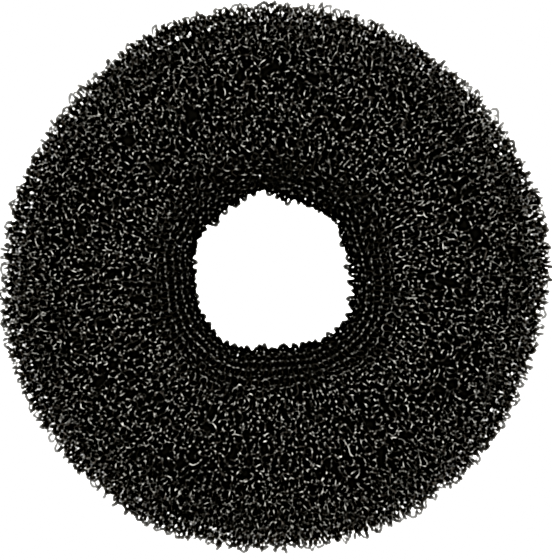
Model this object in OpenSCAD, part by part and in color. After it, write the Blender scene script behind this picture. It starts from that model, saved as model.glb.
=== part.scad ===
// Hair donut: a tube of knitted filament mesh, rolled up on itself into a
// soft ring. The ring lies flat on its underside. In each cross-section the
// outer turn of the roll lies loose, with its free edge in the hole, and leads
// into the turns inside it, which press on each other and are one body.
// Millimetres. X and Y across the ring, Z up, origin under its middle.

/* [Ring] */
// Average outside diameter of the ring, lying flat
outer_d = 84.2; // [64:0.1:108]
// Average diameter of the hole that the ponytail goes through
hole_d = 25; // [18:0.1:28]
// Average height of the ring above the surface that it lies on
ring_h = 29.2; // [20:0.1:36]
// How far its own weight flattens the underside
sink = 0.6; // [0.3:0.1:1]
// How strongly the rim, the hole and the top wander, 1 as made, 0 for a true ring
unevenness = 1; // [0:0.1:1]

/* [Roll] */
// Thickness of the knitted mesh, over its loops
mesh_t = 1.6; // [1:0.1:1.8]
// Distance from one turn of the roll to the next
pitch = 2.1; // [2:0.1:2.6]
// How many turns lie loose, before the ones that press on each other
loose_turns = 1; // [1:1:2]
// Where the free edge lies in the section: 0 at the rim, 90 on top, 180 in the hole
seam_angle = 212; // [200:1:235]

/* [Hidden] */

// How the real ring wanders from the average, going round it from +X:
// [angle, hole radius, rim radius, height], the last three in mm.
A = 0; HOLE = 1; RIM = 2; TOP = 3;
WANDER = [
    [  0, -0.2,  0.3, -0.2],
    [ 20, -0.5,  0.4, -0.3],
    [ 40,  0.5,  0.2,  0.0],
    [ 60,  0.3, -0.1,  0.1],
    [ 80,  0.3,  0.4, -0.1],
    [100,  1.3,  0.2,  0.4],
    [120,  0.6,  0.1,  0.1],
    [140,  0.4, -0.4,  0.2],
    [160,  0.7, -0.5,  0.4],
    [180, -0.2, -0.1, -0.1],
    [200,  0.0,  0.2, -0.1],
    [220,  0.0,  0.4, -0.2],
    [240, -0.2,  0.4, -0.3],
    [260, -1.4,  0.1, -0.6],
    [280, -1.6, -0.5, -0.4],
    [300, -0.9,  0.0, -0.3],
    [320,  0.2, -0.2,  0.1],
    [340,  0.4, -0.4,  0.3]
];

// Sections round the ring, and stations round each turn of the roll
SECTIONS = 36;
STATIONS = [24, 20, 17, 14];
// The last part of each turn, in which it drops below the turn outside it
DROP_SHARE = 0.2;

// Value of one column of WANDER at any angle, on a smooth curve through its rows
function row(i, col) = WANDER[(i + len(WANDER)) % len(WANDER)][col];
function wander(angle, col) =
    let (step = 360 / len(WANDER), u = angle / step, i = floor(u), t = u - i,
         p0 = row(i - 1, col), p1 = row(i, col), p2 = row(i + 1, col), p3 = row(i + 2, col))
    unevenness * (p1 + t * (p2 - p0) / 2
        + t * t * (p0 - 2.5 * p1 + 2 * p2 - p3 / 2)
        + t * t * t * (1.5 * (p1 - p2) + (p3 - p0) / 2));

// Places along the roll, in turns, from the free edge to the end of the turn below the loose ones
S = [for (k = [0 : loose_turns], i = [0 : STATIONS[k] - 1]) k + i / STATIONS[k]];
// The ones that have the loose mesh's inner face under them
LOOSE = [for (s = S) if (s < loose_turns) s];

// Depth of the roll's outer face below the ring's own surface at place s
function ease(t) = t * t * (3 - 2 * t);
function drop(s) = let (k = floor(s), f = s - k)
    pitch * (k + (f > 1 - DROP_SHARE ? ease((f - 1 + DROP_SHARE) / DROP_SHARE) : 0));

// A point in the section at ring angle a: place s along the roll, depth d into its wall
function place(a, s, d) =
    let (hole = hole_d / 2 + wander(a, HOLE), rim = outer_d / 2 + wander(a, RIM),
         top = ring_h + wander(a, TOP), phi = seam_angle - 360 * s,
         across = (rim - hole) / 2 - drop(max(s, 0)) - d,
         up = (top + sink) / 2 - drop(max(s, 0)) - d,
         r = (rim + hole) / 2 + across * cos(phi))
    [r * cos(a), r * sin(a), (top - sink) / 2 + up * sin(phi)];

// One section: in along the roll's outer face and round the body inside, then back
// along the loose mesh's inner face to the free edge, which is rounded over
function section(a) = concat(
    [for (s = S) place(a, s, 0)],
    [place(a, loose_turns, mesh_t)],
    [for (i = [len(LOOSE) - 1 : -1 : 0]) place(a, LOOSE[i], mesh_t)],
    [place(a, -0.012, mesh_t / 2)]);

POINTS = [for (j = [0 : SECTIONS - 1]) each section(j * 360 / SECTIONS)];
ROUND = len(S) + len(LOOSE) + 2;
SKIN = [for (j = [0 : SECTIONS - 1], i = [0 : ROUND - 1])
    let (k = (j + 1) % SECTIONS, n = (i + 1) % ROUND,
         p = j * ROUND + i, q = j * ROUND + n, r = k * ROUND + n, t = k * ROUND + i)
    each [[p, r, q], [p, t, r]]];

XS = [for (p = POINTS) p[0]];
YS = [for (p = POINTS) p[1]];
MIDDLE = [(max(XS) + min(XS)) / 2, (max(YS) + min(YS)) / 2, 0];

// The whole ring: the rolled mesh, flat where it rests
module rolled_mesh() {
    color("#15130f")
    intersection() {
        translate(-MIDDLE) polyhedron(points = POINTS, faces = SKIN, convexity = 12);
        translate([-outer_d, -outer_d, 0]) cube([2 * outer_d, 2 * outer_d, 2 * ring_h]);
    }
}

rolled_mesh();
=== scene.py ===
"""Hair donut: a tube of knitted black monofilament, rolled up on itself into a soft ring.

Every visible stitch is real geometry: the filament of each knitted row is a thin tube that runs
round the ring through its loops, and the rows follow the roll's spiral from the free edge inwards.
Lengths below are in millimetres until the meshes are made.
"""

import math

import bpy
import numpy as np
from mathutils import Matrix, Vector


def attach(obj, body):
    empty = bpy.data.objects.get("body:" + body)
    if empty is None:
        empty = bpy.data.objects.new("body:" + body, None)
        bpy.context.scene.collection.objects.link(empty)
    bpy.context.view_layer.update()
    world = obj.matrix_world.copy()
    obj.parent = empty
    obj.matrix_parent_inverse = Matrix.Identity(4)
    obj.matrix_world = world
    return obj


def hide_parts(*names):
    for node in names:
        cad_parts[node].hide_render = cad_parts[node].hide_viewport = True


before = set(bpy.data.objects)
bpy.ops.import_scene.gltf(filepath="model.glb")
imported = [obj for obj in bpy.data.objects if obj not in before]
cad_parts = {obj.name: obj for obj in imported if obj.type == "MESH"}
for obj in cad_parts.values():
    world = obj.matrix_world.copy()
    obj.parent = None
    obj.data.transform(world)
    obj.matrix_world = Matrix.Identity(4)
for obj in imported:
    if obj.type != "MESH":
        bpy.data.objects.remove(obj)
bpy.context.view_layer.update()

NODE = "rolled_mesh"

# ---------------------------------------------------------------- the ring, as the CAD part has it
OUTER_D, HOLE_D, RING_H, SINK = 84.2, 25.0, 29.2, 0.6
PITCH = 1.1  # from one turn of the roll to the next, here where the mesh is soft and sinks in
SEAM_DEG = 212.0
DROP_SHARE = 0.2
# angle, hole radius, rim radius, height: how the ring wanders from the average
WANDER = np.array(
    [
        [0, -0.2, 0.3, -0.2],
        [20, -0.5, 0.4, -0.3],
        [40, 0.5, 0.2, 0.0],
        [60, 0.3, -0.1, 0.1],
        [80, 0.3, 0.4, -0.1],
        [100, 1.3, 0.2, 0.4],
        [120, 0.6, 0.1, 0.1],
        [140, 0.4, -0.4, 0.2],
        [160, 0.7, -0.5, 0.4],
        [180, -0.2, -0.1, -0.1],
        [200, 0.0, 0.2, -0.1],
        [220, 0.0, 0.4, -0.2],
        [240, -0.2, 0.4, -0.3],
        [260, -1.4, 0.1, -0.6],
        [280, -1.6, -0.5, -0.4],
        [300, -0.9, 0.0, -0.3],
        [320, 0.2, -0.2, 0.1],
        [340, 0.4, -0.4, 0.3],
    ]
)
HOLE, RIM, TOP = 1, 2, 3


def wander(deg, col):
    """One column of WANDER at any angle, on a smooth curve through its rows."""
    rows = len(WANDER)
    u = np.asarray(deg, float) / (360.0 / rows)
    i = np.floor(u).astype(int)
    t = u - i
    p0, p1, p2, p3 = (WANDER[(i + k) % rows, col] for k in (-1, 0, 1, 2))
    return (
        p1
        + t * (p2 - p0) / 2
        + t * t * (p0 - 2.5 * p1 + 2 * p2 - p3 / 2)
        + t**3 * (1.5 * (p1 - p2) + (p3 - p0) / 2)
    )


def drop(s):
    """Depth of the roll's outer face below the ring's surface, s turns from the free edge."""
    s = np.maximum(s, 0)
    k = np.floor(s)
    f = np.clip((s - k - 1 + DROP_SHARE) / DROP_SHARE, 0, 1)
    return PITCH * (k + f * f * (3 - 2 * f))


def raw_place(deg, s, depth):
    hole, rim, top = HOLE_D / 2 + wander(deg, HOLE), OUTER_D / 2 + wander(deg, RIM), RING_H + wander(deg, TOP)
    phi = np.radians(SEAM_DEG - 360.0 * s)
    across = (rim - hole) / 2 - drop(s) - depth
    up = (top + SINK) / 2 - drop(s) - depth
    r = (rim + hole) / 2 + across * np.cos(phi)
    a = np.radians(deg)
    return np.stack([r * np.cos(a), r * np.sin(a), (top - SINK) / 2 + up * np.sin(phi)], -1)


_a, _s = np.meshgrid(np.arange(0, 360, 10.0), np.arange(0, 1, 0.05), indexing="ij")
_p = raw_place(_a, _s, 0.0)
MIDDLE = np.array([(_p[..., k].max() + _p[..., k].min()) / 2 if k < 2 else 0.0 for k in range(3)])


def place(deg, s, depth):
    """A point of the roll: angle round the ring, turns from the free edge, depth into the wall."""
    return raw_place(deg, s, depth) - MIDDLE


# ---------------------------------------------------------------- meshes
def add_mesh(name, verts_mm, quads, uv=None):
    """An object from arrays: vertices in mm, faces of four corners, one UV for each corner."""
    me = bpy.data.meshes.new(name)
    me.vertices.add(len(verts_mm))
    me.vertices.foreach_set("co", (np.asarray(verts_mm, np.float32) * 0.001).ravel())
    me.loops.add(quads.size)
    me.loops.foreach_set("vertex_index", quads.astype(np.int32).ravel())
    me.polygons.add(len(quads))
    me.polygons.foreach_set("loop_start", np.arange(0, quads.size, 4, dtype=np.int32))
    me.polygons.foreach_set("use_smooth", np.full(len(quads), True))
    me.update(calc_edges=True)
    if uv is not None:
        layer = me.uv_layers.new(name="OFBake")
        layer.data.foreach_set("uv", np.asarray(uv, np.float32).ravel())
    ob = bpy.data.objects.new(name, me)
    bpy.context.scene.collection.objects.link(ob)
    return ob


# ---------------------------------------------------------------- the knit
WALES = 61  # loops round the ring, counted round the hole in the photograph
COURSE = 1.95  # from one row of loops to the next, on top of the ring
FILAMENT_W, FILAMENT_T = 0.38, 0.32  # the flat filament's width and thickness
TWIST = 0.5  # how far it turns about its own length, in radians
MESH_DEPTH = 0.55  # the mesh's middle below the CAD surface
OVERLAP = 0.36  # how far a loop's head and foot reach past the middle between two rows
CLOSE = 0.8  # how much less they do near the hole
LEAN, ROUND = 0.11, 0.05  # how far a loop's legs bow, in loops, and how much more near the hole
SKEW = 0.06  # how far the legs lean to one side
PROUD = 0.50  # how far heads and feet stand out of the mesh's middle, and the legs in
HEAD = 0.03  # how far, near the hole, the heads stand out and the feet lie in
FLAT, EDGE = 0.1, 1.2  # how flat the mesh is just above the narrowest part of the hole, and how far that part reaches
CROSSING = 0.10  # how far it rises over each filament that it crosses
KINK, KINK_OUT = 0.16, 0.40  # size of the filament's small kinks, in the mesh and out of it
KINK_EVERY = 0.46  # the filament's length from one kink to the next
RIM_SHORT = 1.3  # how much shorter that is at the rim
RIM_KINKS, RIM_IN, RIM_THIN = 1.0, 0.5, 0.63  # at the rim: how much larger the kinks are, how far the mesh lies in, how much thinner it's drawn
HOLE_THICK, HOLE_THIN = 0.28, 0.2  # how much thicker it's drawn where the hole is narrowest, and thinner above that
SPIKES = 1.45  # how far odd kinks stand out at the rim
TIPS, TIPS_BACK, TIP_THIN = 0.95, 0.26, 0.4  # how far the loops' heads stand into the hole, how far the rest lies back there, how much thinner the heads are drawn
FAR_OUT, RIM_THIN_2 = 1.8, 0.33  # the farthest that anything stands out at the rim, and how much thinner still the second turn is there
OUTER_THICK = 0.3  # how much thicker again the farthest kinks there are drawn
RIM_OUT = 0.85  # how far, there, kinks stand out and in, against those along the mesh
DOUBLE = 0.35  # from here on towards the rim, the filament is doubled
HOLE_KINKS = 0.2  # the kinks' size near the hole, against the rest
NEAT = 0.25  # how uneven the rows near the hole are against the rest
LESS_NEAT, LESS_NEAT_DEG = 0.45, 85.0  # how much more so on one side of it, and the angle of that side
NEAT_TO, WILD_FROM = 18.0, 21.8  # the distances from the ring's middle where they begin and cease to be
LAYERS = (  # turns from, turns to, segments to a kink, sides to the filament, pieces apart from the one in the hole
    (0.0, 1.0, 2.2, 3, 5),
    (1.0, 1.68, 1.6, 3, 2),
)


ROLL_R = ((OUTER_D - HOLE_D) / 2 + RING_H + SINK) / 4  # the roll's own radius in a section


def rows_of_loops():
    """Where each row of loops lies along the roll, in turns, and the roll's length there."""
    s = np.linspace(-0.05, 3.2, 6501)
    radius = ROLL_R - drop(s) - MESH_DEPTH
    ring_r = (OUTER_D + HOLE_D) / 4 + radius * np.cos(np.radians(SEAM_DEG - 360 * s))
    step = 2 * math.pi * radius * (s[1] - s[0])
    length = np.concatenate([[0], np.cumsum(step[:-1])])
    spacing = COURSE * (27.3 / ring_r) ** 0.12
    count = np.concatenate([[0], np.cumsum((step / spacing)[:-1])])
    return s, length, count


ROLL_S, ROLL_L, ROLL_N = rows_of_loops()


class Field:
    """Smooth random displacement over the knit, the same for every run: waves round and along it."""

    def __init__(self, rng, waves, around, along):
        self.k = rng.integers(around[0], around[1] + 1, waves)
        self.l = rng.uniform(1 / along[1], 1 / along[0], waves) * rng.choice([-1, 1], waves)
        self.p = rng.uniform(0, 2 * math.pi, waves)
        self.a = rng.uniform(0.6, 1.4, waves)
        self.a /= math.sqrt((self.a**2).sum() / 2)

    def __call__(self, wale, row):
        out = np.zeros(np.broadcast(wale, row).shape)
        for k, l, p, a in zip(self.k, self.l, self.p, self.a):
            out += a * np.cos(2 * math.pi * (k * wale / WALES + l * row) + p)
        return out


def blended(values, t):
    """Per-loop numbers, blended from one loop's head to the next. t counts loops, head at 0.5."""
    u = t - 0.5
    i = np.floor(u).astype(int)
    f = u - i
    f = f * f * (3 - 2 * f)
    n = values.shape[0]
    return values[i % n] * (1 - f) + values[(i + 1) % n] * f


def knots(values, t, each):
    """Random numbers at `each` places a loop, joined by a smooth closed curve."""
    u = t * each
    i = np.floor(u).astype(int)
    f = u - i
    n = values.shape[0]
    p0, p1, p2, p3 = (values[(i + k) % n] for k in (-1, 0, 1, 2))
    return (
        p1
        + f * (p2 - p0) / 2
        + f * f * (p0 - 2.5 * p1 + 2 * p2 - p3 / 2)
        + f**3 * (1.5 * (p1 - p2) + (p3 - p0) / 2)
    )


rng = np.random.default_rng(61)
SHIFT_AROUND = Field(rng, 26, (2, 9), (5, 16))
SHIFT_ALONG = Field(rng, 26, (2, 9), (4, 14))
SHIFT_OUT = Field(rng, 30, (4, 16), (3, 9))
RUFFLE_AROUND = Field(rng, 30, (9, 26), (2.2, 5))
RUFFLE_ALONG = Field(rng, 30, (9, 26), (2.2, 5))
RUFFLE_OUT = Field(rng, 30, (9, 26), (2.2, 5))


def smooth(a, b, x):
    x = min(max((x - a) / (b - a), 0.0), 1.0)
    return x * x * (3 - 2 * x)


def middle_to(row):
    """A row's average distance from the ring's middle."""
    s = float(np.interp(row + 0.5, ROLL_N, ROLL_S))
    return (OUTER_D + HOLE_D) / 4 + (ROLL_R - float(drop(s)) - MESH_DEPTH) * math.cos(math.radians(SEAM_DEG - 360 * s))


def rim_of(row):
    """How near the rim a row lies, 0 to 1."""
    return smooth(29.0, 40.5, middle_to(row))


def yarn(row, strand, fine):
    """The middle line of one row's filament, a closed curve through its loops, the way out of the mesh there, how far the filament has turned about itself, the points to a loop, and how thick it is drawn out."""
    at = row + 0.5 + 0.45 * strand
    s0 = np.interp(at, ROLL_N, ROLL_S)
    l0 = np.interp(at, ROLL_N, ROLL_L)
    phi = math.radians(SEAM_DEG - 360 * s0)
    radius = ROLL_R - float(drop(np.array(s0))) - MESH_DEPTH
    ring_r = (OUTER_D + HOLE_D) / 4 + radius * math.cos(phi)
    wide = 2 * math.pi * ring_r / WALES  # one loop's width here
    spacing = COURSE * (27.3 / ring_r) ** 0.12
    shorter = 1 + (RIM_SHORT - 1) * rim_of(row)
    each = round(2 * math.hypot(spacing + 2 * OVERLAP, wide / 2) / KINK_EVERY * shorter)
    segments = round(each * fine / shorter)
    t = np.arange(WALES * segments) / segments  # loops along the row
    turn = 2 * math.pi * t
    r = np.random.default_rng(1000 + row + 500 * strand)
    one = r.normal(size=(6, WALES)).clip(-2, 2)
    kn = r.normal(size=(4, WALES * each)).clip(-2, 2)
    # neat near the hole, wilder where the mesh is stretched over the top and the rim
    top = smooth(NEAT_TO, WILD_FROM, ring_r)
    neat = NEAT + LESS_NEAT * np.clip(np.cos(turn / WALES - math.radians(LESS_NEAT_DEG)), 0, 1)
    wild = neat + (1 - neat) * top
    edge = math.exp(-(((ring_r - 12.4) / EDGE) ** 2))  # 1 where the hole is narrowest
    loose = edge + (1 - edge) * (FLAT + (1 - FLAT) * top)

    lean = (LEAN + ROUND * (1 - top)) * (1 + 0.5 * wild * blended(one[0], t))
    high = (spacing / 2 + OVERLAP * (1 - CLOSE * (1 - top) * (1 - edge))) * (1 + 0.22 * wild * blended(one[1], t))
    proud = PROUD * (2.6 / wide) ** 0.45 * (1 + 0.4 * blended(one[2], t)) * loose
    side = 0.10 * wild * blended(one[3], t)
    lift = 0.22 * wild * blended(one[4], t)
    tip = 0.5 * wild * blended(one[5], t)

    around = t + 0.5 * strand + lean * np.sin(2 * turn) + side
    along = -high * np.cos(turn)
    # the purl side is outside: heads and feet stand out, legs lie in
    out = proud * (0.75 * np.cos(2 * turn) - tip * np.cos(turn)) + lift
    # near the hole, heads lie over the next row's feet
    out = out - HEAD * (1 - top) * np.cos(turn)
    # over and under the four filaments that each loop crosses
    out = out - CROSSING * loose * blended(one[1], t + 0.5) * np.cos(4 * turn + 0.5 * blended(one[0], t))
    around = around - SKEW * (1.2 - wild) * np.cos(2 * turn)

    around = around + wild * (0.30 * SHIFT_AROUND(t, row) + 0.16 * RUFFLE_AROUND(t, row))
    along = along + wild * spacing * (0.32 * SHIFT_ALONG(t, row) + 0.16 * RUFFLE_ALONG(t, row))
    out = out + wild * (0.16 * SHIFT_OUT(t, row) + 0.20 * RUFFLE_OUT(t, row))
    rim = rim_of(row)
    # loops' heads stand into the hole, and odd kinks out of the rim
    tall = blended(np.clip(0.8 + 0.5 * r.normal(size=WALES), 0.2, 1.5), t)
    tip = np.exp(-(((t % 1 - 0.5 - 0.06 * blended(one[5], t)) / 0.10) ** 2))
    out = out + edge * (TIPS * tall * tip - TIPS_BACK)
    around = around + 0.15 * edge * tip * tall * blended(one[3], t)
    odd = (r.random(WALES * each) < 0.14) * r.uniform(0.5, 1.0, WALES * each)
    out = out + SPIKES * rim * knots(odd, t, each)
    small = (HOLE_KINKS + (1 - HOLE_KINKS) * top) * (1 + RIM_KINKS * rim)
    around = around + KINK * small / wide * knots(kn[0], t, each)
    along = along + (KINK + (KINK_OUT - KINK) * rim) * small * knots(kn[1], t, each)
    out = out + KINK_OUT * (1 - (1 - RIM_OUT) * rim) * small * knots(kn[2], t, each) - RIM_IN * rim

    # and nothing far out of it
    limit = FAR_OUT / max(rim, 0.2)
    out = np.where(out > 0, limit * np.tanh(out / limit), out)

    deg = around * 360.0 / WALES
    s = np.interp(l0 + along, ROLL_L, ROLL_S)
    p = place(deg, s, MESH_DEPTH - out)
    q = place(deg, s, MESH_DEPTH - out - 0.5)
    up = q - p
    up /= np.linalg.norm(up, axis=1, keepdims=True)
    # the underside lies on the table
    low = math.hypot(FILAMENT_W, FILAMENT_T) / 2 + 0.01
    p[:, 2] = np.where(p[:, 2] < low + 0.25, low + 0.25 * np.exp((p[:, 2] - low - 0.25) / 0.25), p[:, 2])
    # the flat filament turns about its own length as it goes
    thick = 1 - (RIM_THIN + (RIM_THIN_2 if s0 > 1 else 0)) * rim + HOLE_THICK * (1 - smooth(14.5, 16.5, ring_r))
    thick -= HOLE_THIN * smooth(15.5, 17.0, ring_r) * (1 - smooth(18.0, 20.5, ring_r))
    thick = thick - TIP_THIN * edge * tip + OUTER_THICK * rim * np.clip(out - 0.3, 0, 1)
    return p, up, TWIST * knots(kn[3], t, each), segments, thick


def flat_filament(p, up, twist, thick, sides):
    """Corners of a closed flat filament along the closed curve p, a ring of corners to each point."""
    ahead = np.roll(p, -1, 0) - np.roll(p, 1, 0)
    ahead /= np.linalg.norm(ahead, axis=1, keepdims=True)
    b = np.cross(ahead, up)
    b /= np.maximum(np.linalg.norm(b, axis=1, keepdims=True), 1e-9)
    n = np.cross(b, ahead)
    c, q = np.cos(twist)[:, None], np.sin(twist)[:, None]
    b, n = c * b + q * n, c * n - q * b
    across = np.array([(1, 1), (-1, 1), (-1, -1), (1, -1)] if sides == 4 else [(1, 1), (-1, 1), (0, -1)])
    across = across * (FILAMENT_W / 2, FILAMENT_T / 2) * np.reshape(thick, (-1, 1, 1))
    return p[:, None, :] + across[..., :1] * b[:, None, :] + across[..., 1:] * n[:, None, :]


def strands_of(rows):
    """The rows' filaments: in the outer turn, the rows at the rim have two."""
    double = lambda row: rim_of(row) > DOUBLE and row + 0.5 < float(np.interp(1.0, ROLL_S, ROLL_N))
    return [(row, strand) for row in rows for strand in range(2 if double(row) else 1)]


def knit_piece(name, rows, fine, sides):
    """One stretch of the knitted mesh: the filaments of the given rows, as one mesh."""
    verts, quads, uvs = [], [], []
    strands = strands_of(rows)
    cells = len(strands) * WALES
    wide = math.ceil(math.sqrt(cells))
    high = math.ceil(cells / wide)
    k = np.arange(sides)
    base = 0
    for n, (row, strand) in enumerate(strands):
        p, up, twist, segments, thick = yarn(row, strand, fine)
        points = WALES * segments
        i = np.arange(points)
        verts.append(flat_filament(p, up, twist, thick, sides).reshape(-1, 3))
        a = base + i[:, None] * sides + k[None, :]
        b = base + i[:, None] * sides + (k[None, :] + 1) % sides
        c = base + ((i[:, None] + 1) % points) * sides + (k[None, :] + 1) % sides
        d = base + ((i[:, None] + 1) % points) * sides + k[None, :]
        quads.append(np.stack([a, d, c, b], -1).reshape(-1, 4))
        base += points * sides
        loop = n * WALES + i // segments
        cx, cy = (loop % wide)[:, None] + 0.04, (loop // wide)[:, None] + 0.04
        u0 = (i % segments)[:, None] / segments * 0.92
        u1 = u0 + 0.92 / segments
        v0 = k[None, :] / sides * 0.92 + 0 * u0
        v1 = v0 + 0.92 / sides
        u0, u1 = u0 + 0 * v0, u1 + 0 * v0
        corner = lambda u, v: np.stack([(cx + u) / wide, (cy + v) / high], -1)
        uvs.append(np.stack([corner(u0, v0), corner(u1, v0), corner(u1, v1), corner(u0, v1)], -2).reshape(-1, 2))
    return add_mesh(name, np.concatenate(verts), np.concatenate(quads), np.concatenate(uvs))


# ---------------------------------------------------------------- materials
GLOSS, HOLE_SHADE_GLOSS = 0.9, 0.48  # the filament's gloss, and the lower gloss on the pieces nearest the hole: painted shade that dims their glints as the hole's shade would
HOLE_SHADE_TO = 19.3  # how far from the ring's middle that painted shade of lower gloss reaches


def filament_material(name, seed, brown=1.0, gloss=GLOSS, rough_from=0.09, rough_to=0.23):
    """Black drawn monofilament: glossy, a little uneven along its length, faintly brown where thick."""
    m = bpy.data.materials.new(name)
    m.use_nodes = True
    nt = m.node_tree
    nt.nodes.clear()
    out = nt.nodes.new("ShaderNodeOutputMaterial")
    bs = nt.nodes.new("ShaderNodeBsdfPrincipled")
    nt.links.new(bs.outputs[0], out.inputs[0])
    tc = nt.nodes.new("ShaderNodeTexCoord")
    shift = nt.nodes.new("ShaderNodeMapping")
    shift.inputs["Location"].default_value = (seed * 0.013, seed * 0.007, seed * 0.011)
    nt.links.new(tc.outputs["Object"], shift.inputs["Vector"])

    tint = nt.nodes.new("ShaderNodeTexNoise")
    tint.inputs["Scale"].default_value = 260.0
    tint.inputs["Detail"].default_value = 3.0
    nt.links.new(shift.outputs[0], tint.inputs["Vector"])
    ramp = nt.nodes.new("ShaderNodeValToRGB")
    ramp.color_ramp.elements[0].position = 0.35
    ramp.color_ramp.elements[0].color = (0.0015, 0.0014, 0.0013, 1)
    ramp.color_ramp.elements[1].position = 0.70
    ramp.color_ramp.elements[1].color = (0.0050 * brown, 0.0043 * brown, 0.0036 * brown, 1)
    nt.links.new(tint.outputs["Fac"], ramp.inputs["Fac"])
    nt.links.new(ramp.outputs["Color"], bs.inputs["Base Color"])

    worn = nt.nodes.new("ShaderNodeTexNoise")
    worn.inputs["Scale"].default_value = 900.0
    worn.inputs["Detail"].default_value = 2.0
    nt.links.new(shift.outputs[0], worn.inputs["Vector"])
    rough = nt.nodes.new("ShaderNodeMapRange")
    rough.inputs["From Min"].default_value = 0.3
    rough.inputs["From Max"].default_value = 0.7
    rough.inputs["To Min"].default_value = rough_from
    rough.inputs["To Max"].default_value = rough_to
    nt.links.new(worn.outputs["Fac"], rough.inputs["Value"])
    nt.links.new(rough.outputs["Result"], bs.inputs["Roughness"])

    drawn = nt.nodes.new("ShaderNodeTexNoise")
    drawn.inputs["Scale"].default_value = 2600.0
    drawn.inputs["Detail"].default_value = 1.0
    nt.links.new(shift.outputs[0], drawn.inputs["Vector"])
    bump = nt.nodes.new("ShaderNodeBump")
    bump.inputs["Strength"].default_value = 0.25
    bump.inputs["Distance"].default_value = 0.00004
    nt.links.new(drawn.outputs["Fac"], bump.inputs["Height"])
    nt.links.new(bump.outputs["Normal"], bs.inputs["Normal"])
    bs.inputs["IOR"].default_value = 1.58
    bs.inputs["Specular IOR Level"].default_value = gloss
    return m


# ---------------------------------------------------------------- camera
PX = 0.1555e-3  # one pixel of the photograph at the ring's widest level
LEVEL = 0.0143
cam_data = bpy.data.cameras.new("camera")
cam = bpy.data.objects.new("camera", cam_data)
bpy.context.scene.collection.objects.link(cam)
bpy.context.scene.camera = cam
DISTANCE = 0.60
cam_data.type = "PERSP"
cam_data.sensor_fit = "HORIZONTAL"
cam_data.sensor_width = 36.0
cam_data.lens = 36.0 * DISTANCE / (552 * PX)
cam_data.clip_start, cam_data.clip_end = 0.02, 20.0
# the photograph's middle is half a pixel right of the ring's middle and 3.5 px below it
cam.location = (0.5 * PX, -3.5 * PX, LEVEL + DISTANCE)
cam.rotation_euler = (0.0, 0.0, 0.0)

# ---------------------------------------------------------------- floor and light
def revolve(name, profile, around=96):
    verts, quads = [], []
    for j in range(around):
        a = 2 * math.pi * j / around
        verts += [(r * math.cos(a), r * math.sin(a), z) for r, z in profile]
    n = len(profile)
    for j in range(around):
        for k in range(n - 1):
            a, b = j * n + k, ((j + 1) % around) * n + k
            quads.append((a, b, b + 1, a + 1))
    return add_mesh(name, np.array(verts) * 1000.0, np.array(quads))


floor_profile = [(0.000001, 0.0), (0.06, 0.0), (0.3, 0.0), (1.2, 0.0), (2.6, 0.0)]
floor_profile += [(2.6 + 0.35 * math.sin(t), 0.35 - 0.35 * math.cos(t)) for t in np.linspace(0.15, 1.45, 9)]
TABLE = 0.6
floor = revolve("floor", floor_profile)
fm = bpy.data.materials.new("floor")
fm.use_nodes = True
fb = fm.node_tree.nodes["Principled BSDF"]
fb.inputs["Base Color"].default_value = (0.30, 0.30, 0.30, 1)
fb.inputs["Roughness"].default_value = 0.9
fb.inputs["Specular IOR Level"].default_value = 0.1
fb.inputs["Emission Strength"].default_value = 1.0
fb.inputs["Emission Color"].default_value = (1.0, 1.0, 1.0, 1)
floor.data.materials.append(fm)
# blown out white for the camera, with no light of its own on the ring
floor.visible_glossy = False
floor.visible_diffuse = False
# the table close round the ring, dimmer and warmer, which the rim's filaments reflect
glow = revolve("glow", [(0.036, 0.0001), (0.058, 0.0001)])
gm = bpy.data.materials.new("glow")
gm.use_nodes = True
gb = gm.node_tree.nodes["Principled BSDF"]
gb.inputs["Base Color"].default_value = (0.0, 0.0, 0.0, 1)
gb.inputs["Emission Color"].default_value = (1.0, 0.90, 0.80, 1)
gb.inputs["Emission Strength"].default_value = TABLE
glow.data.materials.append(gm)
glow.visible_camera = glow.visible_diffuse = glow.visible_shadow = False


def softbox(name, at, size, radiance, shape="DISK", size_y=None):
    """An area light that faces the ring, set by how bright it looks."""
    d = bpy.data.lights.new(name, "AREA")
    d.shape = shape
    d.size = size
    if size_y:
        d.size_y = size_y
    area = math.pi * size * size / 4 if shape == "DISK" else size * (size_y or size)
    d.energy = radiance * math.pi * area
    ob = bpy.data.objects.new(name, d)
    bpy.context.scene.collection.objects.link(ob)
    ob.location = at
    ob.rotation_euler = (Vector((0, 0, 0.01)) - Vector(at)).to_track_quat("-Z", "Y").to_euler()
    return ob


LIGHT, SIDES = 0.42, 3.0
_key = softbox("key", (0.10, 0.14, 1.75), 1.2, 24.0 * LIGHT)
_key.data.color = (1.0, 0.985, 0.92)
for _i in range(6):
    _a = math.radians(35 + 60 * _i)
    _low = softbox(f"side{_i}", (1.4 * math.cos(_a), 1.4 * math.sin(_a), 0.30), 0.5, SIDES * LIGHT)
    _low.data.color = (1.0, 0.88, 0.78)

world = bpy.data.worlds.new("world")
bpy.context.scene.world = world
world.use_nodes = True
world.node_tree.nodes["Background"].inputs["Color"].default_value = (1, 1, 1, 1)
world.node_tree.nodes["Background"].inputs["Strength"].default_value = 0.005
bpy.context.scene.view_settings.view_transform = "Standard"
bpy.context.scene.view_settings.look = "None"

# A camera's own softness, and the sharpening that every product photograph gets after it
SOFT, AROUND, SHARPEN, DARKEN, LIFT = 2.45, 6.0, 3.0, 0.05, 0.014


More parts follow.
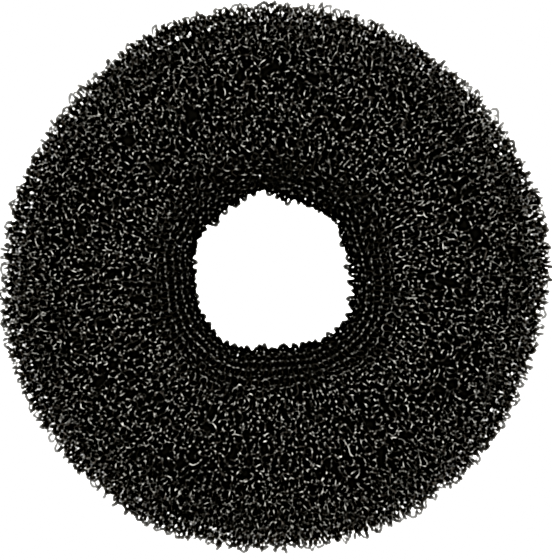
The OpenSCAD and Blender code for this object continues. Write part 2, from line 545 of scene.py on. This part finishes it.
def camera_sharpening():
    """Compositor: in display tones, the picture blurred a little, plus SHARPEN times what a wider blur takes away."""
    scene = bpy.context.scene
    scene.use_nodes = True
    # what the picture is made of is smaller than a denoiser can tell from noise
    scene.cycles.use_denoising = False
    tree = scene.node_tree
    tree.nodes.clear()

    def node(kind, *links, **values):
        n = tree.nodes.new("CompositorNode" + kind)
        for name, value in values.items():
            setattr(n, name, value)
        for socket, source in links:
            tree.links.new(source.outputs[0], n.inputs[socket])
        return n

    seen = node("RLayers")
    tones = node("Gamma", (0, node("MixRGB", (1, seen), blend_type="MULTIPLY", use_clamp=True)))
    tones.inputs[1].default_value = 1 / 2.2
    tones.inputs[0].links[0].from_node.inputs[2].default_value = (1, 1, 1, 1)
    near = node("Blur", (0, tones), filter_type="GAUSS")
    near.inputs["Size"].default_value = (SOFT, SOFT)
    far = node("Blur", (0, tones), filter_type="GAUSS")
    far.inputs["Size"].default_value = (AROUND, AROUND)
    detail = node("MixRGB", (1, near), (2, far), blend_type="SUBTRACT")
    # darker by DARKEN at most, so that the white table puts no black line round the ring
    raised = node("MixRGB", (1, detail), blend_type="ADD")
    raised.inputs[2].default_value = (DARKEN, DARKEN, DARKEN, 1)
    limited = node("MixRGB", (1, raised), blend_type="LIGHTEN")
    limited.inputs[2].default_value = (0, 0, 0, 1)
    lowered = node("MixRGB", (1, limited), blend_type="SUBTRACT")
    lowered.inputs[2].default_value = (DARKEN, DARKEN, DARKEN, 1)
    more = node("MixRGB", (1, lowered), blend_type="MULTIPLY")
    more.inputs[2].default_value = (SHARPEN, SHARPEN, SHARPEN, 1)
    sharp = node("MixRGB", (1, near), (2, more), blend_type="ADD")
    lifted = node("MixRGB", (1, sharp), blend_type="ADD", use_clamp=True)
    lifted.inputs[2].default_value = (LIFT, LIFT, LIFT * 0.5, 1)
    back = node("Gamma", (0, lifted))
    back.inputs[1].default_value = 2.2
    node("Composite", (0, back))


camera_sharpening()

# ---------------------------------------------------------------- the pieces
def knit():
    """The turns of the roll that can be seen, each in pieces of whole rows."""
    done = []
    for layer, (s_from, s_to, fine, sides, parts) in enumerate(LAYERS):
        first = math.ceil(float(np.interp(s_from, ROLL_S, ROLL_N)))
        last = math.ceil(float(np.interp(s_to, ROLL_S, ROLL_N)))
        near = next(row for row in range(first, last) if middle_to(row) > HOLE_SHADE_TO)
        rows = [row for row, strand in strands_of(range(near, last))]
        cuts = [first, near] + [rows[len(rows) * (part + 1) // parts] for part in range(parts - 1)] + [last]
        for part in range(parts + 1):
            name = f"knit_turn{layer + 1}" + "abcdefgh"[part]
            ob = knit_piece(name, list(range(cuts[part], cuts[part + 1])), fine, sides)
            # the piece nearest the hole gets the lower gloss: painted shade
            gloss = HOLE_SHADE_GLOSS if part == 0 else GLOSS
            ob.data.materials.append(filament_material(f"filament_{name}", layer * 3 + part, 1.0, gloss))
            done.append(ob)
            print(name, "rows", cuts[part], cuts[part + 1] - 1, "triangles", len(ob.data.polygons) * 2)
    return done


made = knit()


def core():
    """The rest of the roll, inside: the turns that the outer ones hide, as one closed ring."""
    around, over = 183, 60
    deg = np.arange(around) * 360.0 / around
    s = 2.02 + np.arange(over) / over
    A, S = np.meshgrid(deg, s, indexing="ij")
    base = np.broadcast_to(drop(np.array(2.1)), A.shape)
    loops = np.cos(2 * math.pi * (A / 360 * WALES)) * np.cos(2 * math.pi * (np.arange(over) / over * 24))[None, :]
    # closer under the outer turn on the underside, where no second turn is drawn
    down = np.clip(np.sin(np.radians(SEAM_DEG - 360.0 * S)) * -1.6 - 0.2, 0, 1)
    depth = base - drop(S) + 0.35 + 0.25 * loops - 1.0 * down
    p = place(A, S, depth)
    i, j = np.meshgrid(np.arange(around), np.arange(over), indexing="ij")
    v = lambda x, y: (x % around) * over + (y % over)
    quads = np.stack([v(i, j), v(i, j + 1), v(i + 1, j + 1), v(i + 1, j)], -1).reshape(-1, 4)
    return add_mesh("roll_core", p.reshape(-1, 3), quads)


inner = core()
# the inner turns are real filament, but they are drawn with no gloss, rough and darker so that they read as the shade
# deep inside the roll: partly painted shade
inner.data.materials.append(filament_material("filament_core", 11, 0.5, 0.0, 0.8, 1.0))
made.append(inner)

for ob in made:
    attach(ob, "root")
    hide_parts(NODE)

bpy.context.view_layer.update()
